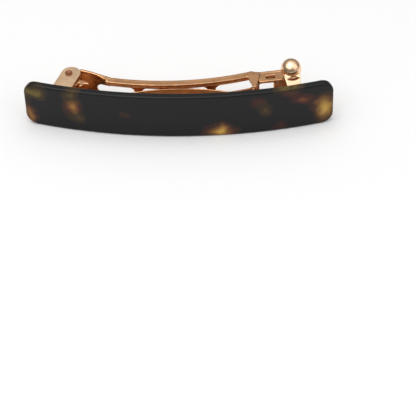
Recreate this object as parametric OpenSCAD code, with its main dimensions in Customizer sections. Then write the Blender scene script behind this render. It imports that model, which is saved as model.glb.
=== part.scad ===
// French-clip hair barrette standing on its long edge.
// +X runs from the hinge end to the catch end, -Y is the decorative face,
// +Y is the hair side with the clasp, +Z is up.
// The origin is the middle of the lower long edge, halfway through the plate.

/* [Plate] */
// length of the acetate plate across its two ends
plate_length = 84.2; // [70:0.5:100]
// width of the plate, which is its height when it stands on edge
plate_width = 13.8; // [12:0.2:20]
// thickness of the plate
plate_thickness = 2.2; // [1.5:0.1:4]
// radius of the bow measured at the middle of the thickness
bow_radius = 140; // [110:1:220]
// radius of the four outline corners
corner_radius = 3.2; // [1:0.1:5]
// radius of the rounding along the two long edges
edge_radius = 0.6; // [0.2:0.1:1]

/* [Base strip] */
// width of the metal strip fixed to the plate
base_width = 10; // [8:0.5:12]
// sheet thickness of the strip
base_sheet = 0.7; // [0.4:0.1:1]
// distance of the hole at the hinge end from mid-length
hinge_hole_offset = 35.5; // [30:0.1:38]
// distance of the hole at the catch end from mid-length
catch_hole_offset = 36.7; // [30:0.1:38]
// diameter of each fixing hole
hole_diameter = 3.8; // [2:0.1:4.5]

/* [Clasp arm] */
// radius of the bowed middle of the arm at its rail tops
arm_radius = 74; // [60:1:120]
// full width over the two rails
arm_width = 9; // [8:0.1:10]
// sheet thickness of the arm
arm_sheet = 0.5; // [0.3:0.05:0.8]
// width of the three long slots
slot_width = 3; // [1.5:0.1:3.5]

/* [Hinge] */
// diameter of the hinge pin
pin_diameter = 1.2; // [0.8:0.1:1.6]
// radial running clearance between the pin and the arm
pin_clearance = 0.05; // [0.02:0.01:0.1]

/* [Tension bar] */
// width of the sprung bar
bar_width = 6.6; // [5:0.1:8]
// sheet thickness of the bar
bar_sheet = 0.4; // [0.2:0.05:0.6]

/* [Catch] */
// outside diameter of the hollow button ball
ball_diameter = 5.6; // [4:0.1:7]
// wall of the hollow ball
ball_wall = 0.45; // [0.3:0.05:0.8]

/* [Hidden] */
$fn = 96;

mid_z = plate_width / 2;
back_r = bow_radius - plate_thickness / 2;
front_r = bow_radius + plate_thickness / 2;
base_r = back_r - base_sheet;
back_v = plate_thickness / 2;
base_v = back_v + base_sheet;
plate_half_angle = asin(plate_length / 2 / front_r);
base_half = base_width / 2;

// hinge end, in a frame tangent to the bow: u along it, v away from the plate
hinge_angle = -13.1;
pin_v = 7.7;
ear_r = 2.65;
ear_u = 0.45;
ear_v = 8.1;
ear_inner = 5.0;
ear_sheet = 0.6;

// base strip details
base_tip = 40.2;
tip_r = 9;
rib_z = 4.3;
rib_r = 0.55;
rib_sink = 0.2;
lip = 0.65;
hook_angle = -10.2;
hook_half = 0.9;
hook_z = 2.25;
hook_sheet = 0.4;
hook_gap = 0.15;
claw_angles = [11.5, 14.0];
claw_half = 0.35;
claw_z = 4.72;

// arm middle
arm_x = -4;
arm_y = 9.95;
arm_half = arm_width / 2;
rail_r = 1.2;
rail_z = arm_half - rail_r;
web_drop = 0.4;
web_half = rail_z - rail_r + 0.35;
flange_drop = 2.8;
arm_start = -12.5;
arm_end = 18.8;

// arm head, in the hinge frame
cheek_half = 4.75;
flare_half = 5.0;
flare_start = 2.3;
flare_end = 5.4;
neck_half = 3.7;
head_end = 10.7;
ridge = [2.3, 11];
ramp_slope = 7.3;
heel_centre = [1.9, 6.5];
heel_r = 4.4;
knuckle_r = 1.6;

// arm nose, in a frame that leans with it
nose_x = 21.3;
nose_y = 12.85;
nose_lean = 9;
nose_half = 4.2;
nose_length = 6.9;
nose_depth = 4.1;
horn_half = 4.6;
crescent_r = 11;
crescent_p = 0.6;
notch_p = 8.5;
notch_r = 1.35;
notch_waist = 3.3;
dimple_p = 7.6;
dimple_r = 1.45;
dimple_ball = 3;

// tension bar
bar_x = 1;
bar_y = 7.4;
bar_r = 58;
bar_end_x = 19.5;
bar_half = bar_width / 2;
bend_r = 8;
tongue_half = 2;
tongue_back = 1.4;
tongue_v = base_v + 0.1;

// catch, in a frame tangent to the bow
catch_angle = 13.1;
floor_sheet = 0.5;
floor_half = 4.7;
floor_from = 11.1;
floor_to = 14.2;
leaf_u = 1.5;
leaf_v = 6.1;
leaf_half_height = 1.7;
leaf_arc = 3.5;
leaf_z = -4.95;
ear_foot_z = 5.02;
ear_lean = 19.7;
ear_metal = 0.5;
ball_w = 5.9;
ball_u = 0.5;

// places children in the frame tangent to the bow at angle a
module at_bow(a) {
  translate([0, bow_radius, 0])
    rotate([0, 0, a])
      translate([0, -bow_radius, 0])
        children();
}

// sweeps a radius-height profile about the bow centre from angle a to angle b
module bow_sweep(a, b) {
  translate([0, bow_radius, 0])
    rotate_extrude(start = 270 + a, angle = b - a)
      children();
}

// extrudes an x-z outline from y0 to y1
module through_y(y0, y1) {
  translate([0, y1, 0])
    rotate([90, 0, 0])
      linear_extrude(height = y1 - y0)
        children();
}

// extrudes an x-y outline from height z0 to z1 measured from mid width
module across_z(z0, z1) {
  translate([0, 0, mid_z + z0])
    linear_extrude(height = z1 - z0)
      children();
}

// the same outline on both sides of mid width
module both_sides(z0, z1) {
  across_z(z0, z1)
    children();
  across_z(-z1, -z0)
    children();
}

// an outline and its mirror image about mid width, drawn as x-z
module mirrored_outline() {
  translate([0, mid_z]) {
    children();
    mirror([0, 1])
      children();
  }
}

module rounded_box(x, y, r) {
  square([x - 2 * r, y], center = true);
  square([x, y - 2 * r], center = true);
  for (sx = [-1, 1])
    for (sy = [-1, 1])
      translate([sx * (x / 2 - r), sy * (y / 2 - r)])
        circle(r = r);
}

module obround(x0, x1, w) {
  translate([x0 + w / 2, mid_z - w / 2])
    square([x1 - x0 - w, w]);
  for (x = [x0 + w / 2, x1 - w / 2])
    translate([x, mid_z])
      circle(d = w);
}

module plate() {
  color("#1c1612")
    intersection() {
      bow_sweep(-plate_half_angle, plate_half_angle)
        translate([bow_radius, mid_z])
          rounded_box(plate_thickness, plate_width, edge_radius);
      through_y(-5, 15)
        translate([0, mid_z])
          rounded_box(plate_length, plate_width, corner_radius);
    }
}

// one melted acetate stud filling a fixing hole, with a low domed head
module stud(a) {
  dome_r = 6;
  dome_top = base_v + 0.35;
  foot_v = back_v + 0.014;
  at_bow(a)
    translate([0, 0, mid_z])
      rotate([-90, 0, 0])
        rotate_extrude()
          intersection() {
            translate([0, dome_top - dome_r])
              circle(r = dome_r);
            translate([0, foot_v])
              square([hole_diameter / 2, 4]);
          }
}

module fixing_studs() {
  color("#2b2016") {
    stud(-asin(hinge_hole_offset / base_r));
    stud(asin(catch_hole_offset / base_r));
  }
}

// outline of the base strip seen along the hair side
module base_outline() {
  translate([0, mid_z])
    intersection() {
      square([2 * base_tip + 2, base_width], center = true);
      union() {
        square([2 * (base_tip - tip_r), base_width], center = true);
        for (s = [-1, 1])
          translate([s * (base_tip - tip_r), 0])
            circle(r = tip_r);
      }
    }
}

// folded hinge ear, seen from the side
module ear_outline() {
  polygon([
    [-2.8, back_v + 0.5], [2.5, back_v + 0.5],
    [ear_u + ear_r, ear_v - 0.2], [ear_u - ear_r, ear_v - 0.2]
  ]);
  translate([ear_u, ear_v])
    circle(r = ear_r);
}

module base_strip() {
  hole_angles = [-asin(hinge_hole_offset / base_r), asin(catch_hole_offset / base_r)];
  ear_spread = 1.3;
  color("#d9a066")
    difference() {
      union() {
        intersection() {
          bow_sweep(-plate_half_angle, plate_half_angle)
            translate([base_r, mid_z - base_half])
              square([base_sheet, base_width]);
          through_y(0, 12)
            base_outline();
        }
        // stiffening rib along each edge
        bow_sweep(-9.4, 10.4)
          for (s = [-1, 1])
            intersection() {
              translate([base_r + rib_sink, mid_z + s * rib_z])
                circle(r = rib_r);
              translate([base_r - 1, 0])
                square([1 + base_sheet / 2, plate_width]);
            }
        // strip widened under the folded ears
        bow_sweep(hinge_angle - ear_spread, hinge_angle + ear_spread)
          translate([base_r, mid_z - ear_inner - ear_sheet])
            square([base_sheet, 2 * (ear_inner + ear_sheet)]);
        at_bow(hinge_angle)
          both_sides(ear_inner, ear_inner + ear_sheet)
            ear_outline();
        // raised lip round each fixing hole
        for (a = hole_angles)
          at_bow(a)
            translate([0, back_v + 0.3, mid_z])
              rotate([-90, 0, 0])
                cylinder(r = hole_diameter / 2 + lip, h = base_sheet - 0.1);
        // two lanced hooks over the tongue of the tension bar
        at_bow(hook_angle) {
          both_sides(hook_z, hook_z + hook_sheet)
            translate([-hook_half, base_v - 0.3])
              square([2 * hook_half, 0.3 + 0.1 + bar_sheet + hook_gap + hook_sheet]);
          both_sides(hook_z - 0.9, hook_z + hook_sheet)
            translate([-hook_half, tongue_v + bar_sheet + hook_gap])
              square([2 * hook_half, hook_sheet]);
        }
        // claws folded over the floor of the catch
        for (a = claw_angles)
          at_bow(a) {
            both_sides(claw_z, claw_z + 0.26)
              translate([-claw_half, base_v - 0.3])
                square([2 * claw_half, 1.2]);
            both_sides(claw_z - 0.7, claw_z + 0.26)
              translate([-claw_half, base_v + floor_sheet + 0.05])
                square([2 * claw_half, 0.35]);
          }
      }
      for (a = hole_angles)
        at_bow(a)
          translate([0, 0, mid_z])
            rotate([-90, 0, 0])
              cylinder(d = hole_diameter + 0.1, h = 5);
      at_bow(hinge_angle)
        translate([0, pin_v, -1])
          cylinder(d = pin_diameter + 0.04, h = plate_width + 2);
    }
}

module hinge_pin() {
  ear_outer = ear_inner + ear_sheet;
  head_h = 0.22;
  color("#c98f55")
    at_bow(hinge_angle)
      translate([0, pin_v, mid_z]) {
        translate([0, 0, -ear_outer - 0.1])
          cylinder(d = pin_diameter, h = 2 * ear_outer + 0.2);
        // staked head on each ear, dished in the middle
        for (s = [-1, 1])
          difference() {
            translate([0, 0, s * (ear_outer + 0.03 + head_h / 2) - head_h / 2])
              cylinder(r = 1, h = head_h);
            translate([0, 0, s * (ear_outer + 1.1)])
              sphere(r = 1);
          }
      }
}

// one rail of the arm: a half-round crown with a deep outer flange
module rail_profile() {
  difference() {
    translate([arm_radius + rail_r, rail_z])
      circle(r = rail_r);
    translate([arm_radius + rail_r, rail_z])
      circle(r = rail_r - arm_sheet);
    translate([arm_radius + rail_r, rail_z - rail_r - 1])
      square([rail_r + 1, 2 * rail_r + 2]);
  }
  translate([arm_radius + rail_r - 0.1, arm_half - arm_sheet])
    square([flange_drop - rail_r + 0.1, arm_sheet]);
}

module arm_slots() {
  through_y(5, 20) {
    obround(-22.5, -12.2, slot_width);
    obround(-10.2, 7.8, slot_width);
    obround(10, 20.6, slot_width);
  }
}

module arm_middle() {
  translate([arm_x, arm_y + arm_radius, mid_z])
    rotate_extrude(start = 270 + arm_start, angle = arm_end - arm_start) {
      rail_profile();
      mirror([0, 1])
        rail_profile();
      translate([arm_radius + web_drop, -web_half])
        square([arm_sheet, 2 * web_half]);
    }
}

// sheet of the head seen from the hair side
module head_outline() {
  mirrored_outline()
    polygon([
      [0.2, 0], [0.2, neck_half], [flare_start - 0.4, neck_half], [flare_start, flare_half],
      [flare_end, flare_half], [head_end, arm_half], [head_end, 0]
    ]);
}

// ramp of the head seen from the side
module ramp_side() {
  drop = (head_end - ridge[0]) * tan(ramp_slope);
  polygon([
    [0.3, ridge[1] - 0.15], ridge, [head_end, ridge[1] - drop],
    [head_end, ridge[1] - drop - arm_sheet], [ridge[0], ridge[1] - arm_sheet],
    [0.3, ridge[1] - 0.15 - arm_sheet]
  ]);
}

module heel_side() {
  translate(heel_centre)
    intersection() {
      difference() {
        circle(r = heel_r);
        circle(r = heel_r - arm_sheet);
      }
      polygon([[0, 0], [-0.9, 7], [-8, 7], [-8, -6.7]]);
    }
}

module cheek_side() {
  difference() {
    union() {
      translate([0, pin_v])
        circle(r = knuckle_r);
      polygon([
        [-1.5, pin_v + 0.4], [-1.2, 9.5], [0.6, 10.6], [1.5, pin_v + 0.4], [1.4, pin_v - 0.6],
        [-0.4, pin_v - 0.6]
      ]);
      // forked tab below the knuckle
      polygon([
        [0.6, 6.4], [1.2, 7.2], [4.4, 6.7], [6.2, 6.2], [6.3, 5.5], [4.9, 5.4], [4.6, 4.2],
        [3.9, 4.2], [3.8, 5.3], [3.3, 5.3], [3.2, 4.3], [2.6, 4.3], [2.4, 5.7]
      ]);
    }
    translate([0, pin_v])
      circle(r = pin_diameter / 2 + pin_clearance);
  }
}

// depth of the head's side walls, seen from the side
module wall_side() {
  polygon([
    [flare_start, 10.7], [head_end, 9.7], [head_end, 8.2], [9, 9.0], [7.5, 9.6],
    [flare_start, 10.2]
  ]);
}

module wall_outline() {
  inset = arm_sheet;
  mirrored_outline()
    polygon([
      [flare_start, flare_half], [flare_end, flare_half], [head_end, arm_half],
      [head_end, arm_half - inset], [flare_end - 0.1, flare_half - inset],
      [flare_start, flare_half - inset]
    ]);
}

module arm_head() {
  at_bow(hinge_angle) {
    intersection() {
      across_z(-flare_half, flare_half)
        ramp_side();
      through_y(5, 15)
        head_outline();
    }
    across_z(-cheek_half, cheek_half)
      heel_side();
    both_sides(cheek_half - arm_sheet, cheek_half)
      cheek_side();
    intersection() {
      across_z(-flare_half, flare_half)
        wall_side();
      through_y(5, 15)
        wall_outline();
    }
  }
}

// crescent tip with a notch behind each horn, drawn as p-z
module tip_outline() {
  difference() {
    intersection() {
      translate([crescent_p, mid_z])
        circle(r = crescent_r);
      translate([nose_length - 0.5, mid_z - horn_half])
        square([6, 2 * horn_half]);
    }
    for (s = [-1, 1])
      translate([notch_p, mid_z + s * (notch_waist + notch_r)])
        circle(r = notch_r);
    for (s = [-1, 1])
      translate([nose_length - 1, mid_z + s * (nose_half + 1) - 1])
        square([notch_p - nose_length + 0.4, 2]);
  }
}

module arm_nose() {
  translate([nose_x, nose_y, 0])
    rotate([0, 0, nose_lean]) {
      through_y(-arm_sheet, 0) {
        tip_outline();
        difference() {
          translate([-1.2, mid_z - nose_half])
            square([nose_length + 1.2, 2 * nose_half]);
          // opening beside the bridge of the nose
          translate([0.6, mid_z - 2.6])
            square([4, 3]);
        }
      }
      both_sides(nose_half - arm_sheet, nose_half)
        difference() {
          translate([0, -nose_depth])
            square([nose_length, nose_depth]);
          translate([2.1, -2.9])
            square([2.4, 1.1]);
        }
      // step down to the web between the rails
      across_z(-nose_half, nose_half)
        translate([-1.4, -1.1])
          square([arm_sheet, 1.9]);
      // pressed cross beads
      for (p = [-0.9, 4.9, 5.9])
        translate([p, -0.15, mid_z - nose_half])
          cylinder(r = 0.4, h = 2 * nose_half);
      // polished dimple on the centre line
      translate([dimple_p, 0, mid_z])
        rotate([-90, 0, 0])
          intersection() {
            translate([0, 0, -0.3])
              cylinder(r = dimple_r, h = 1);
            translate([0, 0, 0.35 - dimple_ball])
              sphere(r = dimple_ball);
          }
    }
  // pointed lug under the step
  both_sides(arm_half - arm_sheet, arm_half)
    polygon([
      [18.4, 11.4], [19.2, 13], [22, 12.7], [22, 11.2], [21, 6.4], [20.3, 6.4], [19, 9.8]
    ]);
}

module arm() {
  color("#e0a872")
    union() {
      difference() {
        union() {
          arm_middle();
          arm_head();
        }
        arm_slots();
      }
      difference() {
        arm_nose();
        arm_slots();
      }
    }
}

module ring(x, y, r, t) {
  translate([x, y])
    difference() {
      circle(r = r, $fn = 240);
      circle(r = r - t, $fn = 240);
    }
}

// side profile of the bar: bow, reverse bend and flat tongue, all tangent
module bar_side() {
  t = [cos(hook_angle), sin(hook_angle)];
  n = [-sin(hook_angle), cos(hook_angle)];
  top = tongue_v + bar_sheet;
  foot = [0, bow_radius] - (bow_radius - top) * n;
  centre = [bar_x, bar_y - bar_r];
  g = foot + bend_r * n - centre;
  half_b = g * t;
  s = -half_b - sqrt(half_b * half_b - g * g + (bar_r + bend_r) * (bar_r + bend_r));
  c = centre + g + s * t;
  d = (centre - c) / (bar_r + bend_r);
  e = [-d[1], d[0]];
  meet = c + bend_r * d;
  intersection() {
    ring(centre[0], centre[1], bar_r, bar_sheet);
    polygon([meet + 3 * d, [bar_end_x, 0], [bar_end_x, 9], meet - 4 * d]);
  }
  intersection() {
    ring(c[0], c[1], bend_r + bar_sheet, bar_sheet);
    polygon([c, c + 14 * d + 0.2 * e, c - 14 * n - 0.2 * t]);
  }
  translate(c - (bend_r + bar_sheet) * n)
    rotate([0, 0, hook_angle])
      translate([-s - tongue_back, 0])
        square([s + tongue_back + 0.01, bar_sheet]);
}

// plan of the bar: full width, rounded free end, narrow tongue
module bar_outline() {
  translate([-14.5, mid_z - bar_half])
    square([bar_end_x - bar_half + 14.5, bar_width]);
  translate([bar_end_x - bar_half, mid_z])
    circle(r = bar_half);
  polygon([
    [-14.5, mid_z - bar_half], [-14.5, mid_z + bar_half],
    [-18.5, mid_z + tongue_half], [-18.5, mid_z - tongue_half]
  ]);
  translate([-27, mid_z - tongue_half])
    square([9, 2 * tongue_half]);
}

module tension_bar() {
  color("#d79a55")
    intersection() {
      across_z(-bar_half, bar_half)
        bar_side();
      through_y(0, 10)
        bar_outline();
    }
}

module catch_spring() {
  shift = leaf_arc - leaf_half_height;
  color("#e3b083") {
    bow_sweep(floor_from, floor_to)
      translate([base_r - floor_sheet, mid_z - floor_half])
        square([floor_sheet, 2 * floor_half]);
    at_bow(catch_angle) {
      // foot of the plain ear
      across_z(leaf_z - ear_metal, -floor_half + 0.1)
        translate([-0.9, base_v + 0.01])
          square([2.4, floor_sheet - 0.01]);
      across_z(leaf_z - ear_metal, leaf_z) {
        polygon([
          [-0.9, base_v + 0.01], [1.5, base_v + 0.01], [2.9, leaf_v - 0.6], [0.1, leaf_v - 0.6]
        ]);
        intersection() {
          translate([leaf_u, leaf_v - shift])
            circle(r = leaf_arc);
          translate([leaf_u, leaf_v + shift])
            circle(r = leaf_arc);
        }
      }
    }
  }
}

// ear of the button drawn flat, w upwards from its foot
module button_ear_outline() {
  difference() {
    union() {
      polygon([[-1.75, 0], [1.75, 0], [2.5, 3.3], [-1.9, 3.3]]);
      translate([0.3, 3.3])
        circle(r = 2.2);
    }
    // eye-shaped window under the ball
    intersection() {
      translate([0.4, 2.45 - 2.3])
        circle(r = 2.9);
      translate([0.4, 2.45 + 2.3])
        circle(r = 2.9);
    }
  }
}

module release_button() {
  ball_r = ball_diameter / 2;
  color("#e8b98a")
    at_bow(catch_angle)
      translate([0, base_v + 0.1, mid_z + ear_foot_z])
        rotate([ear_lean, 0, 0]) {
          linear_extrude(height = ear_metal)
            button_ear_outline();
          translate([ball_u, ball_w, 0])
            difference() {
              sphere(r = ball_r);
              sphere(r = ball_r - ball_wall);
              // mouth of the ball, towards the arm
              translate([0, 0, -ball_r - 0.1])
                cylinder(r = 1.9, h = ball_r);
            }
        }
}

plate();
fixing_studs();
base_strip();
hinge_pin();
arm();
tension_bar();
catch_spring();
release_button();
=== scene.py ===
"""Looks for the barrette: polished tortoiseshell plate and a rose gold French clip."""
import math

import bmesh
import bpy
import numpy as np
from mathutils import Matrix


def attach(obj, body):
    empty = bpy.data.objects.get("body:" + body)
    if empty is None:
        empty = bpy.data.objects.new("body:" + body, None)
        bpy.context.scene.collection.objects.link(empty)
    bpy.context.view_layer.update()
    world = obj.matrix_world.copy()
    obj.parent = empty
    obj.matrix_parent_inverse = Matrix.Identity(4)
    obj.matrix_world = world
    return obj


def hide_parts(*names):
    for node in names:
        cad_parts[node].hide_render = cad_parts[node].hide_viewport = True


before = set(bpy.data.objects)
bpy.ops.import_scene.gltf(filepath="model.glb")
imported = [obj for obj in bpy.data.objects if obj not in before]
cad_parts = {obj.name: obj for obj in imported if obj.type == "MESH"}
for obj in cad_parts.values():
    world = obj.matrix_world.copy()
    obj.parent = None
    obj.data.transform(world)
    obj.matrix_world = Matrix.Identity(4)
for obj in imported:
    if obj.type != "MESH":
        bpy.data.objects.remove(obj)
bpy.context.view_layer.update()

import openvdb as vdb
from mathutils import Matrix, Vector

MM = 0.001

# sizes shared with the CAD source, in millimetres
WIDTH = 13.8
MID = WIDTH / 2
THICK = 2.2
BOW = 140.0
LENGTH = 84.2
BASE_V = THICK / 2 + 0.7
BASE_HALF = 5.0
HOLES_X = (-35.5, 36.7)
HOLE_R = 1.92
HINGE_ANGLE = -13.1
CATCH_ANGLE = 13.1
HOOK_ANGLE = -10.2
PIN_V = 7.7


# ---------------------------------------------------------------- distance fields
def circle(a, b, r):
    return np.sqrt(a * a + b * b) - r


def rect(a, b, half_a, half_b, r=0.0):
    da = np.abs(a) - half_a + r
    db = np.abs(b) - half_b + r
    outside = np.sqrt(np.maximum(da, 0) ** 2 + np.maximum(db, 0) ** 2)
    return outside + np.minimum(np.maximum(da, db), 0) - r


def poly(a, b, points):
    """Signed distance to a closed polygon, negative inside."""
    d = None
    inside = None
    for (x0, y0), (x1, y1) in zip(points, points[1:] + points[:1]):
        ex, ey = x1 - x0, y1 - y0
        wx, wy = a - x0, b - y0
        t = np.clip((wx * ex + wy * ey) / (ex * ex + ey * ey), 0, 1)
        dist = (wx - ex * t) ** 2 + (wy - ey * t) ** 2
        d = dist if d is None else np.minimum(d, dist)
        up = (y0 <= b) != (y1 <= b)
        with np.errstate(divide="ignore", invalid="ignore"):
            cross = a < x0 + (b - y0) * (ex / ey if ey else 0.0)
        flip = up & cross
        inside = flip if inside is None else inside ^ flip
    return np.where(inside, -1.0, 1.0) * np.sqrt(d)


def both(*fields, r=0.12):
    """Intersection with a rounded outer edge."""
    d = fields[0]
    for f in fields[1:]:
        outside = np.sqrt(np.maximum(d + r, 0) ** 2 + np.maximum(f + r, 0) ** 2)
        d = np.minimum(np.maximum(d, f), -r) + outside
    return d


def either(*fields, k=0.0):
    """Union, with a fillet of about k where pieces meet."""
    d = fields[0]
    for f in fields[1:]:
        if k:
            h = np.maximum(k - np.abs(d - f), 0) / k
            d = np.minimum(d, f) - h * h * k / 4
        else:
            d = np.minimum(d, f)
    return d


def less(d, cutter, r=0.12):
    return both(d, -cutter, r=r)


def at_bow(x, y, angle):
    """Coordinates u, v in the frame tangent to the bow."""
    a = math.radians(angle)
    dx, dy = x, y - BOW
    return dx * math.cos(a) + dy * math.sin(a), -dx * math.sin(a) + dy * math.cos(a) + BOW


def solid(name, low, high, step, field, body, node=None):
    """Meshes a distance field over a box and lets it stand for its CAD node."""
    axes = [np.arange(a - 2 * step, b + 3 * step, step, dtype=np.float32)
            for a, b in zip(low, high)]
    x = axes[0][:, None, None]
    y = axes[1][None, :, None]
    z = axes[2][None, None, :]
    shape = (len(axes[0]), len(axes[1]), len(axes[2]))
    values = np.broadcast_to(field(x, y, z - MID), shape)
    limit = 3 * step
    values = np.clip(np.ascontiguousarray(values, dtype=np.float32), -limit, limit)
    grid = vdb.FloatGrid(limit)
    grid.copyFromArray(values)
    points, quads = grid.convertToQuads()
    origin = np.array([a[0] for a in axes])
    points = (points * step + origin) * MM
    mesh = bpy.data.meshes.new(name)
    mesh.from_pydata(points.tolist(), [], quads[:, ::-1].tolist())
    mesh.update()
    mesh.shade_smooth()
    piece = bpy.data.objects.new(name, mesh)
    bpy.context.scene.collection.objects.link(piece)
    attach(piece, body)
    if node:
        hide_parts(node)
    return piece


# ---------------------------------------------------------------- clasp arm
ARM_R, ARM_X, ARM_Y = 74.0, -4.0, 9.95
ARM_HALF, RAIL_R, SHEET = 4.5, 1.2, 0.5
RIDGE = (2.3, 11.0)
RAMP_SLOPE = math.tan(math.radians(7.3))
SLOTS_X = ((-22.5, -12.2), (-10.2, 7.8), (10.0, 20.6))
SLOT_HALF = 1.5
HEAD_END = 10.9
FLARE_HALF = 5.0
HEEL_CENTRE, HEEL_R = (1.9, 6.5), 4.15
CHEEK_Z = 4.5
KNUCKLE = [(-1.5, 8.1), (-1.2, 9.5), (0.6, 10.6), (1.5, 8.1), (1.4, 7.1), (-0.4, 7.1)]
FORKED_TAB = [
    (0.6, 6.4), (1.2, 7.2), (4.4, 6.7), (6.2, 6.2), (6.3, 5.5), (4.9, 5.4), (4.6, 4.2),
    (3.9, 4.2), (3.8, 5.3), (3.3, 5.3), (3.2, 4.3), (2.6, 4.3), (2.4, 5.7)]
NOSE_AT, NOSE_LEAN, NOSE_HALF = (21.3, 12.85), 9, 4.2
LUG = [
    (18.4, 11.4), (19.2, 13.0), (22, 12.7), (22, 11.2), (21, 6.4), (20.3, 6.4), (19.0, 9.8)]


def slots(x, z):
    d = None
    for x0, x1 in SLOTS_X:
        hole = rect(x - (x0 + x1) / 2, z, (x1 - x0) / 2, SLOT_HALF, SLOT_HALF - 0.001)
        d = hole if d is None else np.minimum(d, hole)
    return d


def sheet_of(surface):
    """A sheet of metal of the arm's thickness, centred on a surface."""
    return np.abs(surface) - SHEET / 2


def middle_field(x, y, z):
    """Two rails with deep flanges and a sunk web between them."""
    az = np.abs(z)
    depth = np.sqrt((x - ARM_X) ** 2 + (y - ARM_Y - ARM_R) ** 2) - ARM_R
    rail = sheet_of(circle(depth - RAIL_R, az - ARM_HALF + RAIL_R, RAIL_R - SHEET / 2))
    rail = both(rail, depth - RAIL_R - 0.1)
    flange = rect(depth - 1.9, az - ARM_HALF + SHEET / 2, 0.9, SHEET / 2, 0.12)
    web = rect(depth - 0.65, az, SHEET / 2, 2.6, 0.12)
    middle = either(rail, flange, k=0.2)
    middle = either(middle, web, k=0.35)
    # fine line pressed along each rail
    middle = less(middle, circle(depth, az - 2.95, 0.2), r=0.08)
    return both(middle, x - 20.0, -20.0 - x)


def head_field(x, y, z):
    """Ramp, side walls, knuckles and heel, in the hinge frame."""
    az = np.abs(z)
    u, v = at_bow(x, y, HINGE_ANGLE)
    drop = np.maximum(u - RIDGE[0], 0) * RAMP_SLOPE + np.maximum(RIDGE[0] - u, 0) * 0.08
    top = (v - RIDGE[1] + drop) * 0.975
    plan = poly(u, az, [
        (0.2, -1), (0.2, 3.7), (1.9, 3.7), (2.3, FLARE_HALF), (5.4, FLARE_HALF),
        (HEAD_END, ARM_HALF), (HEAD_END, -1)])
    skirt = poly(u, az, [
        (1, -1), (1, FLARE_HALF), (5.4, FLARE_HALF), (HEAD_END, ARM_HALF), (14, 4.0), (14, -1)])
    ramp = both(sheet_of(top + SHEET / 2), plan)
    side = poly(u, v, [
        (2.3, 10.7), (HEAD_END, 9.7), (HEAD_END, 8.2), (9.0, 9.0), (7.5, 9.6), (2.3, 10.2)])
    wall = both(sheet_of(skirt + SHEET / 2), side, 2.3 - u, u - 10.8)
    hu, hv = u - HEEL_CENTRE[0], v - HEEL_CENTRE[1]
    heel = sheet_of(circle(hu, hv, HEEL_R))
    heel = both(heel, poly(hu, hv, [(0, 0), (-0.8, 7), (-9, 7), (-9, -7.2)]))
    heel = both(heel, rect(v - 9.0, z, 6.2, 4.75, 1.6))
    knuckle = either(circle(u, v - PIN_V, 1.6), poly(u, v, KNUCKLE), k=0.4)
    knuckle = np.minimum(knuckle, poly(u, v, FORKED_TAB))
    knuckle = less(knuckle, circle(u, v - PIN_V, 0.65))
    knuckle = both(knuckle, sheet_of(az - CHEEK_Z), r=0.2)
    crease = either(circle(u - 2.3, v - 10.8, 0.36), circle(u - 0.5, v - 10.64, 0.3))
    crease = both(crease, az - 3.7)
    head = either(ramp, wall, k=0.25)
    head = either(head, heel, k=0.3)
    head = either(head, knuckle, k=0.2)
    return either(head, crease, k=0.2)


def nose_field(x, y, z):
    """Leaning box with a crescent tip, in a frame that leans with it."""
    az = np.abs(z)
    lean = math.radians(NOSE_LEAN)
    dx, dy = x - NOSE_AT[0], y - NOSE_AT[1]
    p = dx * math.cos(lean) + dy * math.sin(lean)
    n = -dx * math.sin(lean) + dy * math.cos(lean)
    # the crescent curls down at its end
    n = n + 0.2 * np.maximum(p - 9.9, 0) ** 2
    tip = both(circle(p - 0.6, z, 11.0), 6.2 - p, az - 4.6, r=0.25)
    tip = less(tip, circle(p - 8.5, az - 4.65, 1.35), r=0.2)
    tip = less(tip, rect(p - 7.3, az - 5.2, 0.95, 1.0, 0.1))
    panel = rect(p - 2.9, z, 4.1, NOSE_HALF, 0.3)
    panel = less(panel, rect(p - 2.6, z + 1.1, 2.0, 1.5, 0.5))
    nose = both(sheet_of(n + SHEET / 2), np.minimum(tip, panel))
    sides = both(sheet_of(az - 3.95), rect(p - 3.45, n + 2.05, 3.45, 2.05, 0.5))
    sides = less(sides, rect(p - 3.3, n + 2.35, 1.2, 0.55, 0.15))
    step = both(rect(p + 1.15, n + 0.15, SHEET / 2, 0.95, 0.1), az - NOSE_HALF)
    beads = None
    for at in (-0.9, 4.9, 5.9):
        bead = both(circle(p - at, n + 0.12, 0.4), az - 4.15)
        beads = bead if beads is None else np.minimum(beads, bead)
    dome = np.sqrt((p - 7.6) ** 2 + (n + 2.65) ** 2 + z * z) - 3.0
    dome = both(dome, circle(p - 7.6, z, 1.45), -0.4 - n)
    lug = both(poly(x, y, LUG), sheet_of(az - 4.25))
    nose = either(nose, sides, k=0.3)
    nose = either(nose, step, k=0.3)
    nose = either(nose, beads, k=0.2)
    nose = either(nose, dome, k=0.15)
    return either(nose, lug, k=0.25)


def arm_field(x, y, z):
    rear = either(middle_field(x, y, z), head_field(x, y, z), k=0.35)
    rear = less(rear, slots(x, z))
    front = less(nose_field(x, y, z), slots(x, z))
    return either(rear, front, k=0.2)


arm = solid(
    "clasp_arm", (-34.2, 3.6, MID - 5.9), (33.3, 15.2, MID + 5.9), 0.125, arm_field, "arm", "arm")


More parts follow.
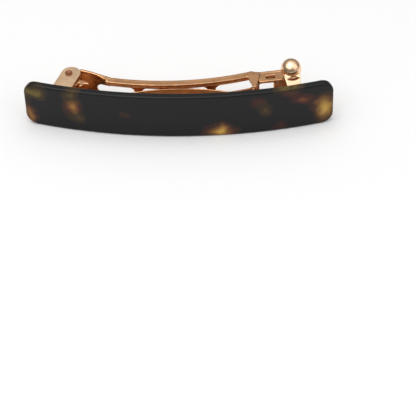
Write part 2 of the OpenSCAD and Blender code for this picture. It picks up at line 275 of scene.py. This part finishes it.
# ---------------------------------------------------------------- catch and button
def button_field(x, y, z):
    u, v = at_bow(x, y, CATCH_ANGLE)
    lean = math.radians(19.7)
    dv, dz = v - BASE_V - 0.1, z - 5.02
    w = dv * math.cos(lean) + dz * math.sin(lean)
    t = -dv * math.sin(lean) + dz * math.cos(lean)
    blade = poly(u, w, [(-1.75, 0), (1.75, 0), (2.5, 3.3), (-1.9, 3.3)])
    ear = either(blade, circle(u - 0.3, w - 3.3, 2.2), k=0.3)
    eye = np.maximum(circle(u - 0.4, w - 0.15, 2.9), circle(u - 0.4, w - 4.75, 2.9))
    ear = both(less(ear, eye), np.abs(t - 0.25) - 0.25)
    ball = np.sqrt((u - 0.5) ** 2 + (w - 5.9) ** 2 + t * t)
    shell = np.abs(ball - 2.8 + 0.225) - 0.225
    mouth = both(circle(u - 0.5, w - 5.9, 1.9), t + 0.1)
    shell = less(shell, mouth)
    return either(ear, shell, k=0.25)


button = solid(
    "ball_button", (27.8, 4.8, MID + 4.6), (34.4, 14.2, MID + 10.4), 0.1, button_field,
    "release_button", "release_button")


def catch_field(x, y, z):
    radius = np.sqrt(x * x + (y - BOW) ** 2)
    v = BOW - radius
    angle = np.degrees(np.arcsin(np.clip(x / radius, -1, 1)))
    along = (angle - 12.65) * math.radians(1) * 138
    strip = both(np.abs(v - BASE_V - 0.25) - 0.25, rect(along, z, 3.73, 4.7, 0.6))
    u, w = at_bow(x, y, CATCH_ANGLE)
    foot = both(np.abs(w - BASE_V - 0.26) - 0.24, rect(u - 0.3, z + 5.0, 1.2, 0.45, 0.1))
    lens = np.maximum(circle(u - 1.5, w - 4.3, 3.5), circle(u - 1.5, w - 7.9, 3.5))
    neck = poly(u, w, [(-0.9, 1.81), (1.5, 1.81), (2.9, 5.5), (0.1, 5.5)])
    ear = both(either(lens, neck, k=0.6), np.abs(z + 5.2) - 0.25)
    return either(strip, foot, ear, k=0.2)


catch = solid(
    "catch_plate", (26.2, 4.4, MID - 5.6), (35.4, 12.2, MID + 4.9), 0.11, catch_field,
    "base", "catch_spring")


# ---------------------------------------------------------------- tension bar
def bar_field(x, y, z):
    bar_x, bar_y, bar_r, bend_r, sheet = 1.0, 7.4, 58.0, 8.0, 0.4
    a = math.radians(HOOK_ANGLE)
    t = Vector((math.cos(a), math.sin(a)))
    n = Vector((-math.sin(a), math.cos(a)))
    foot = Vector((0, BOW)) - (BOW - BASE_V - 0.1 - sheet) * n
    centre = Vector((bar_x, bar_y - bar_r))
    g = foot + bend_r * n - centre
    half_b = g.dot(t)
    s = -half_b - math.sqrt(half_b * half_b - g.dot(g) + (bar_r + bend_r) ** 2)
    c = centre + g + s * t
    d = (centre - c) / (bar_r + bend_r)
    bow = np.abs(circle(x - centre.x, y - centre.y, bar_r - sheet / 2)) - sheet / 2
    bend = np.abs(circle(x - c.x, y - c.y, bend_r + sheet / 2)) - sheet / 2
    flat = (x - foot.x) * n.x + (y - foot.y) * n.y + sheet / 2
    flat = np.abs(flat) - sheet / 2
    past_meet = -((x - c.x) * d.y - (y - c.y) * d.x)
    past_foot = (x - c.x) * n.y - (y - c.y) * n.x
    line = np.where(past_meet > 0, bow, np.where(past_foot > 0, bend, flat))
    az = np.abs(z)
    plan = either(
        rect(x - 1.0, z, 15.2, 3.3, 0.2), rect(x + 22.0, z, 4.0, 2.0, 1.2),
        circle(x - 16.2, z, 3.3), k=0.2)
    plan = either(plan, poly(x, az, [(-14.2, -1), (-14.2, 3.3), (-18.5, 2.0), (-18.5, -1)]), k=0.3)
    return both(line, plan)


bar = solid(
    "tension_spring", (-26.2, 3.0, MID - 3.5), (19.7, 7.8, MID + 3.5), 0.13, bar_field,
    "tension_bar", "tension_bar")


# ---------------------------------------------------------------- base strip
def base_field(x, y, z):
    az = np.abs(z)
    radius = np.sqrt(x * x + (y - BOW) ** 2)
    v = BOW - radius
    angle = np.degrees(np.arcsin(np.clip(x / radius, -1, 1)))
    ends = circle(np.abs(x) - 31.2, z, 9.0)
    plan = both(either(rect(x, z, 31.2, BASE_HALF), ends), az - BASE_HALF, r=0.3)
    strip = both(np.abs(v - 1.45) - 0.35, plan)
    rib = both(circle(v - 1.6, az - 4.3, 0.55), np.abs(angle - 0.5) - 9.9, 1.3 - v, r=0.25)
    strip = either(strip, rib, k=0.3)
    holes = None
    for at in HOLES_X:
        a = math.degrees(math.asin(at / 138.2))
        hu, hv = at_bow(x, y, a)
        lip = both(circle(hu, z, 2.55), np.abs(hv - 1.7) - 0.32, r=0.2)
        strip = either(strip, lip, k=0.25)
        hole = both(circle(hu, z, HOLE_R), -hv, hv - 6)
        holes = hole if holes is None else np.minimum(holes, hole)
    u, w = at_bow(x, y, HINGE_ANGLE)
    foot = both(np.abs(v - 1.45) - 0.35, rect(u, z, 3.0, 5.6, 0.2))
    blade = poly(u, w, [(-2.8, 1.6), (2.5, 1.6), (3.1, 7.9), (-2.2, 7.9)])
    ear = either(blade, circle(u - 0.45, w - 8.1, 2.65), k=0.3)
    ear = both(ear, np.abs(az - 5.3) - 0.3, r=0.15)
    ear = less(ear, circle(u, w - PIN_V, 0.62))
    ears = either(foot, ear, k=0.5)
    hu, hw = at_bow(x, y, HOOK_ANGLE)
    hook = either(
        rect(hw - 2.3, az - 2.45, 0.85, 0.2), rect(hw - 2.65, az - 2.0, 0.2, 0.65), k=0.3)
    hook = both(hook, np.abs(hu) - 0.9)
    strip = either(strip, ears, k=0.3)
    strip = either(strip, hook, k=0.2)
    for at in (11.5, 14.0):
        cu, cw = at_bow(x, y, at)
        claw = either(
            rect(cw - 2.1, az - 4.86, 0.6, 0.14), rect(cw - 2.52, az - 4.5, 0.17, 0.48), k=0.2)
        claw = both(claw, np.abs(cu) - 0.4)
        strip = either(strip, claw)
    return less(strip, holes)


base = solid(
    "base_spring_strip", (-40.6, 1.0, MID - 5.8), (40.6, 14.4, MID + 5.8), 0.15, base_field,
    "base", "base_strip")


# ---------------------------------------------------------------- plate
def plate_mesh():
    """Rounded plate built from rings that run round its outline, then bowed."""
    r, edge = 3.2, 0.6
    half_l = LENGTH / 2 * BOW / (BOW + THICK / 2)
    half_w = WIDTH / 2
    core_l, core_w = half_l - r, half_w - r
    loop = []
    n_long, n_short, n_arc = 150, 8, 12
    corners = [
        (core_l, core_w, 0), (-core_l, core_w, 90), (-core_l, -core_w, 180),
        (core_l, -core_w, 270)]
    for i, (cx, cz, a0) in enumerate(corners):
        for k in range(n_arc + 1):
            a = math.radians(a0 + 90 * k / n_arc)
            loop.append((cx, cz, math.cos(a), math.sin(a)))
        nx, nz, _ = corners[(i + 1) % 4]
        count = n_long if i % 2 == 0 else n_short
        a = math.radians(a0 + 90)
        for k in range(1, count):
            t = k / count
            loop.append((cx + (nx - cx) * t, cz + (nz - cz) * t, math.cos(a), math.sin(a)))
    rings = []
    for k in range(9):
        a = math.radians(90 * k / 8)
        rings.append((edge * (1 - math.cos(a)), THICK / 2 - edge + edge * math.sin(a)))
    for inset in (0.9, 1.3, 1.9, 2.6, 3.6, 4.8, 6.0, half_w):
        rings.append((inset, THICK / 2))
    profile = [(d, -h) for d, h in reversed(rings)] + [(0, h) for h in (-0.25, 0, 0.25)] + rings
    bm = bmesh.new()
    made = []
    for inset, height in profile:
        ring = []
        for cx, cz, nx, nz in loop:
            if inset <= r:
                x, z = cx + nx * (r - inset), cz + nz * (r - inset)
            else:
                t = (inset - r) / (half_w - r)
                mx = max(-(half_l - half_w), min(half_l - half_w, cx))
                x, z = cx + (mx - cx) * t, cz * (1 - t)
            # height is measured towards the hair side
            a = math.asin(x / BOW)
            rr = BOW - height
            place = (rr * math.sin(a) * MM, (BOW - rr * math.cos(a)) * MM, (z + MID) * MM)
            ring.append(bm.verts.new(place))
        made.append(ring)
    count = len(loop)
    for lower, upper in zip(made, made[1:]):
        for i in range(count):
            j = (i + 1) % count
            bm.faces.new((lower[i], lower[j], upper[j], upper[i]))
    bmesh.ops.remove_doubles(bm, verts=bm.verts, dist=1e-6)
    bmesh.ops.dissolve_degenerate(bm, edges=bm.edges, dist=1e-7)
    bmesh.ops.recalc_face_normals(bm, faces=bm.faces)
    mesh = bpy.data.meshes.new("tortoiseshell_plate")
    bm.to_mesh(mesh)
    bm.free()
    mesh.shade_smooth()
    piece = bpy.data.objects.new("tortoiseshell_plate", mesh)
    bpy.context.scene.collection.objects.link(piece)
    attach(piece, "base")
    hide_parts("plate")
    return piece


plate = plate_mesh()


# ---------------------------------------------------------------- materials
class Nodes:
    """Short names for building a node tree."""

    def __init__(self, name):
        self.material = bpy.data.materials.new(name)
        self.material.use_nodes = True
        self.tree = self.material.node_tree
        self.tree.nodes.clear()
        self.out = self.tree.nodes.new("ShaderNodeOutputMaterial")
        self.shader = self.tree.nodes.new("ShaderNodeBsdfPrincipled")
        self.join(self.shader.outputs[0], self.out.inputs["Surface"])
        coords = self.tree.nodes.new("ShaderNodeTexCoord")
        self.place = coords.outputs["Object"]

    def join(self, a, b):
        self.tree.links.new(a, b)

    def put(self, socket, value):
        if hasattr(value, "is_linked"):
            self.join(value, socket)
        else:
            socket.default_value = value

    def math(self, kind, a, b=0.0, c=0.0, clamp=False):
        node = self.tree.nodes.new("ShaderNodeMath")
        node.operation = kind
        node.use_clamp = clamp
        for socket, value in zip(node.inputs, (a, b, c)):
            self.put(socket, value)
        return node.outputs[0]

    def vector(self, kind, a, b=(0, 0, 0)):
        node = self.tree.nodes.new("ShaderNodeVectorMath")
        node.operation = kind
        self.put(node.inputs[0], a)
        self.put(node.inputs[1], b)
        return node.outputs["Value" if kind == "LENGTH" else "Vector"]

    def noise(self, scale, detail=2.0, rough=0.5, colour=False):
        node = self.tree.nodes.new("ShaderNodeTexNoise")
        node.inputs["Scale"].default_value = scale
        node.inputs["Detail"].default_value = detail
        node.inputs["Roughness"].default_value = rough
        self.join(self.place, node.inputs["Vector"])
        return node.outputs["Color" if colour else "Fac"]

    def ramp(self, value, stops):
        node = self.tree.nodes.new("ShaderNodeValToRGB")
        node.color_ramp.interpolation = "EASE"
        while len(node.color_ramp.elements) < len(stops):
            node.color_ramp.elements.new(0.5)
        for element, (at, colour) in zip(node.color_ramp.elements, stops):
            element.position = at
            element.color = (*colour, 1)
        self.put(node.inputs[0], value)
        return node.outputs[0]

    def mix(self, factor, a, b):
        node = self.tree.nodes.new("ShaderNodeMix")
        node.data_type = "RGBA"
        self.put(node.inputs[0], factor)
        self.put(node.inputs[6], a)
        self.put(node.inputs[7], b)
        return node.outputs[2]

    def bump(self, height, strength, distance):
        node = self.tree.nodes.new("ShaderNodeBump")
        node.inputs["Strength"].default_value = strength
        node.inputs["Distance"].default_value = distance
        self.join(height, node.inputs["Height"])
        self.join(node.outputs[0], self.shader.inputs["Normal"])


# centre x, depth y, height z, the three radii in millimetres, strength, and how olive it is
PATCHES = [
    (-39.0, 5.5, 11.4, 3.4, 4.0, 2.2, 0.75, 0.9),
    (-41.0, 6.0, 3.6, 1.8, 4.0, 4.0, 0.8, 0.3),
    (-28.6, 2.6, 12.0, 2.2, 4.0, 2.6, 0.55, 0.9),
    (-28.4, 2.0, 8.0, 2.2, 3.0, 3.0, 0.75, 0.1),
    (-27.6, 1.8, 4.6, 2.2, 3.0, 2.0, 0.5, 0.9),
    (-14.7, -0.6, 7.2, 1.9, 2.0, 1.9, 0.35, 0.0),
    (11.6, -0.6, 1.5, 3.5, 3.0, 2.2, 1.0, 0.3),
    (21.9, 1.0, 10.4, 2.4, 3.0, 2.3, 0.45, 0.0),
    (23.6, 1.0, 8.0, 2.0, 3.0, 2.0, 0.5, 0.8),
    (27.2, 1.6, 1.6, 2.8, 2.5, 2.0, 0.35, 0.0),
    (29.8, 3.5, 14.2, 3.6, 4.0, 1.4, 0.75, 0.9),
    (30.5, 2.6, 12.0, 2.4, 2.0, 1.4, 0.5, 0.0),
    (33.6, 3.4, 10.0, 3.4, 2.0, 1.7, 0.6, 0.0),
    (39.6, 5.4, 5.4, 2.6, 4.0, 4.4, 1.0, 0.45),
    (37.5, 5.0, 7.6, 2.2, 3.0, 2.2, 0.7, 0.1),
    (36.0, 6.2, 1.0, 4.5, 2.0, 2.6, 0.6, 0.9),
    (14.0, 2.2, 1.2, 5.0, 1.8, 1.6, 0.6, 0.9),
    (-12.0, 2.4, 0.8, 4.0, 1.6, 1.8, 0.45, 0.1),
    (-22.0, 3.4, 1.6, 3.4, 1.6, 2.0, 0.5, 0.7),
]


def tortoiseshell(name, fill):
    m = Nodes(name)
    wobble = m.noise(230.0, 3.0, 0.55, colour=True)
    wobble = m.vector("SUBTRACT", wobble, (0.5, 0.5, 0.5))
    wobble = m.vector("MULTIPLY", wobble, (0.0042, 0.0016, 0.0042))
    place = m.vector("ADD", m.place, wobble)
    glow = None
    olive = None
    for x, y, z, rx, ry, rz, strength, green in PATCHES:
        local = m.vector("SUBTRACT", place, (x * MM, y * MM, z * MM))
        local = m.vector("DIVIDE", local, (rx * MM, ry * MM, rz * MM))
        away = m.vector("LENGTH", local)
        spot = m.math("SUBTRACT", 1.8, away)
        spot = m.math("DIVIDE", spot, 1.6, clamp=True)
        spot = m.math("MULTIPLY", spot, strength)
        glow = spot if glow is None else m.math("SMOOTH_MAX", glow, spot, 0.12)
        tint = m.math("MULTIPLY", spot, green)
        olive = tint if olive is None else m.math("MAXIMUM", olive, tint)
    warm = m.ramp(glow, [
        (0.0, fill), (0.15, fill), (0.4, (0.045, 0.014, 0.010)), (0.62, (0.16, 0.050, 0.018)),
        (0.82, (0.38, 0.17, 0.040)), (1.0, (0.60, 0.33, 0.075))])
    green = m.ramp(glow, [
        (0.0, fill), (0.12, fill), (0.4, (0.040, 0.026, 0.010)), (0.7, (0.13, 0.10, 0.022)),
        (1.0, (0.38, 0.28, 0.05))])
    share = m.math("DIVIDE", olive, m.math("MAXIMUM", glow, 0.02), clamp=True)
    colour = m.mix(share, warm, green)
    m.join(colour, m.shader.inputs["Base Color"])
    m.shader.inputs["Roughness"].default_value = 0.14
    m.shader.inputs["IOR"].default_value = 1.3
    m.bump(m.noise(420.0, 2.0, 0.4), 0.04, 0.0002)
    return m.material


# GOLD, for the arm and tension bar, is darker than the other rose gold parts: painted shade
# standing in for the dark reflections along the rails
GOLD = (0.74, 0.40, 0.20)
SATIN_GOLD = (1.0, 0.69, 0.43)
BUTTON_GOLD = (0.98, 0.67, 0.43)
FLAT_GOLD = (0.80, 0.52, 0.34)
# the hinge pin's rose gold is darkened as painted shade, as if shaded inside the knuckles
PIN_PAINTED_SHADE_GOLD = (0.40, 0.17, 0.08)
ACETATE_BLACK = (0.009, 0.0088, 0.0095)


def rose_gold(name, base, rough_low, rough_high, brushed=0.0):
    m = Nodes(name)
    patina = m.noise(260.0, 3.0, 0.55)
    colour = m.ramp(patina, [(0.35, tuple(c * 0.8 for c in base)), (0.65, base)])
    m.join(colour, m.shader.inputs["Base Color"])
    m.shader.inputs["Metallic"].default_value = 1.0
    rough = m.noise(900.0, 3.0, 0.6)
    span = m.tree.nodes.new("ShaderNodeMapRange")
    span.inputs["To Min"].default_value = rough_low
    span.inputs["To Max"].default_value = rough_high
    m.join(rough, span.inputs[0])
    m.join(span.outputs[0], m.shader.inputs["Roughness"])
    m.bump(m.noise(1500.0, 3.0, 0.6), 0.12 + brushed, 0.0001)
    return m.material


metal = rose_gold("rose_gold_polished_painted_shade", GOLD, 0.12, 0.22)
bright = rose_gold("rose_gold_button", BUTTON_GOLD, 0.2, 0.3)
satin = rose_gold("rose_gold_satin", SATIN_GOLD, 0.26, 0.36, 0.1)
dark = rose_gold("rose_gold_pin_painted_shade", PIN_PAINTED_SHADE_GOLD, 0.3, 0.4, 0.1)
flat = rose_gold("rose_gold_flat", FLAT_GOLD, 0.28, 0.4, 0.05)
acetate = tortoiseshell("acetate_tortoiseshell", ACETATE_BLACK)


def dress(piece, material):
    piece.data.materials.clear()
    piece.data.materials.append(material)


dress(plate, acetate)
dress(arm, metal)
dress(button, bright)
dress(catch, flat)
dress(bar, metal)
dress(base, satin)
for name, material in (("fixing_studs", acetate), ("hinge_pin", dark)):
    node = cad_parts[name]
    for slot in node.material_slots:
        slot.material = material

# ---------------------------------------------------------------- floor, lights, camera
floor_mesh = bpy.data.meshes.new("floor")
FLOOR_HALF, FLOOR_Z = 2, -0.00002
corners = ((-1, -1), (1, -1), (1, 1), (-1, 1))
floor_mesh.from_pydata(
    [(sx * FLOOR_HALF, sy * FLOOR_HALF, FLOOR_Z) for sx, sy in corners], [], [(0, 1, 2, 3)])
floor = bpy.data.objects.new("floor", floor_mesh)
bpy.context.scene.collection.objects.link(floor)
pale = Nodes("floor_pale")
pale.shader.inputs["Base Color"].default_value = (0.86, 0.86, 0.86, 1)
pale.shader.inputs["Roughness"].default_value = 0.8
dress(floor, pale.material)


def area_light(name, place, size, power):
    data = bpy.data.lights.new(name, "AREA")
    data.shape = "RECTANGLE"
    data.size, data.size_y = size
    data.energy = power
    lamp = bpy.data.objects.new(name, data)
    lamp.location = place
    towards = Vector((0, 0.005, 0.006)) - Vector(place)
    lamp.rotation_euler = towards.to_track_quat("-Z", "Y").to_euler()
    bpy.context.scene.collection.objects.link(lamp)


area_light("key", (-0.30, -0.30, 0.85), (1.1, 1.0), 5.3)
area_light("fill", (0.65, -0.25, 0.45), (0.8, 0.7), 1.2)
area_light("top", (0.05, 0.15, 0.95), (1.0, 0.7), 1.5)

world = bpy.data.worlds.new("studio")
world.use_nodes = True
tree = world.node_tree
coords = tree.nodes.new("ShaderNodeTexCoord")
split = tree.nodes.new("ShaderNodeSeparateXYZ")
sky = tree.nodes.new("ShaderNodeValToRGB")
tree.links.new(coords.outputs["Generated"], split.inputs[0])
tree.links.new(split.outputs["Z"], sky.inputs[0])
tree.links.new(sky.outputs[0], tree.nodes["Background"].inputs[0])
# sine of the elevation, and how bright the studio is there
grey_at = [(0.0, 0.10), (0.15, 0.16), (0.38, 0.30), (0.56, 0.50), (0.68, 0.66), (1.0, 0.8)]
while len(sky.color_ramp.elements) < len(grey_at):
    sky.color_ramp.elements.new(0.5)
for element, (at, grey) in zip(sky.color_ramp.elements, grey_at):
    element.position = at
    element.color = (grey, grey, grey, 1)
tree.nodes["Background"].inputs[1].default_value = 1.0
bpy.context.scene.world = world
bpy.context.scene.view_settings.view_transform = "Standard"
bpy.context.scene.view_settings.look = "None"

CAMERA_DISTANCE = 0.493
azimuth, elevation, roll = math.radians(3.85), math.radians(41.1), math.radians(-2.77)
forward = Vector((
    -math.sin(azimuth) * math.cos(elevation), math.cos(azimuth) * math.cos(elevation),
    -math.sin(elevation)))
right = Vector((math.cos(azimuth), math.sin(azimuth), 0))
up = right.cross(forward)
across = right * math.cos(roll) + up * math.sin(roll)
above = up * math.cos(roll) - right * math.sin(roll)
# the object stands high in the frame, so the camera aims below it
aim = (forward + across * 0.0161 - above * 0.0407).normalized()
back = -aim
side = (across - back * across.dot(back)).normalized()
camera_data = bpy.data.cameras.new("camera")
camera_data.sensor_width = 36
camera_data.lens = 156.5
camera_data.clip_start = 0.01
camera = bpy.data.objects.new("camera", camera_data)
bpy.context.scene.collection.objects.link(camera)
turn = Matrix((side, back.cross(side), back)).transposed().to_4x4()
camera.matrix_world = Matrix.Translation(forward * -CAMERA_DISTANCE) @ turn
bpy.context.scene.camera = camera
